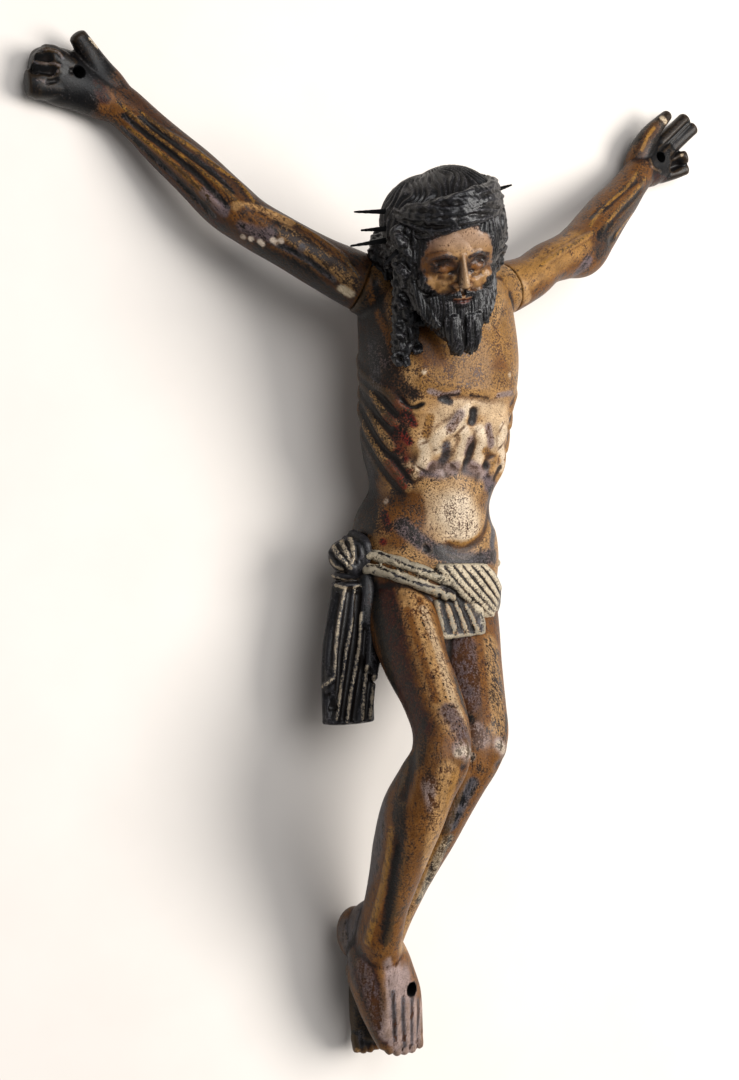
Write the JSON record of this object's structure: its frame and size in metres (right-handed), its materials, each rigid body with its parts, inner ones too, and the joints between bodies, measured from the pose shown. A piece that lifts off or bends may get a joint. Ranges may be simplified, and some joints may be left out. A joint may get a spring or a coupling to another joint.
{
  "type": "crucifix corpus figure",
  "caption": "Carved and painted wooden corpus with raised arms, bowed bearded head in a twisted wreath, bent knees, crossed feet and a knotted loincloth with a hanging tail.",
  "frame": {"origin": "centre of the flat patch at the back of the loincloth, on which the figure lies", "axes": "+Y towards the head, +Z out of the chest, +X towards the figure's own left hand"},
  "size_m": [0.353, 0.4549, 0.1176],
  "materials": {
    "body": "worn paint and varnish over gesso on carved wood, satin",
    "right_arm": "dark worn paint and varnish over gesso on carved wood, satin",
    "left_arm": "worn paint and varnish over gesso on carved wood, satin",
    "thorn": "blackened wood, satin"
  },
  "bodies": {
    "root": {"body": "body", "right_arm": "right_arm", "left_arm": "left_arm", "thorn_1": "thorn", "thorn_2": "thorn", "thorn_3": "thorn", "thorn_4": "thorn", "thorn_5": "thorn"}
  },
  "joints": []
}
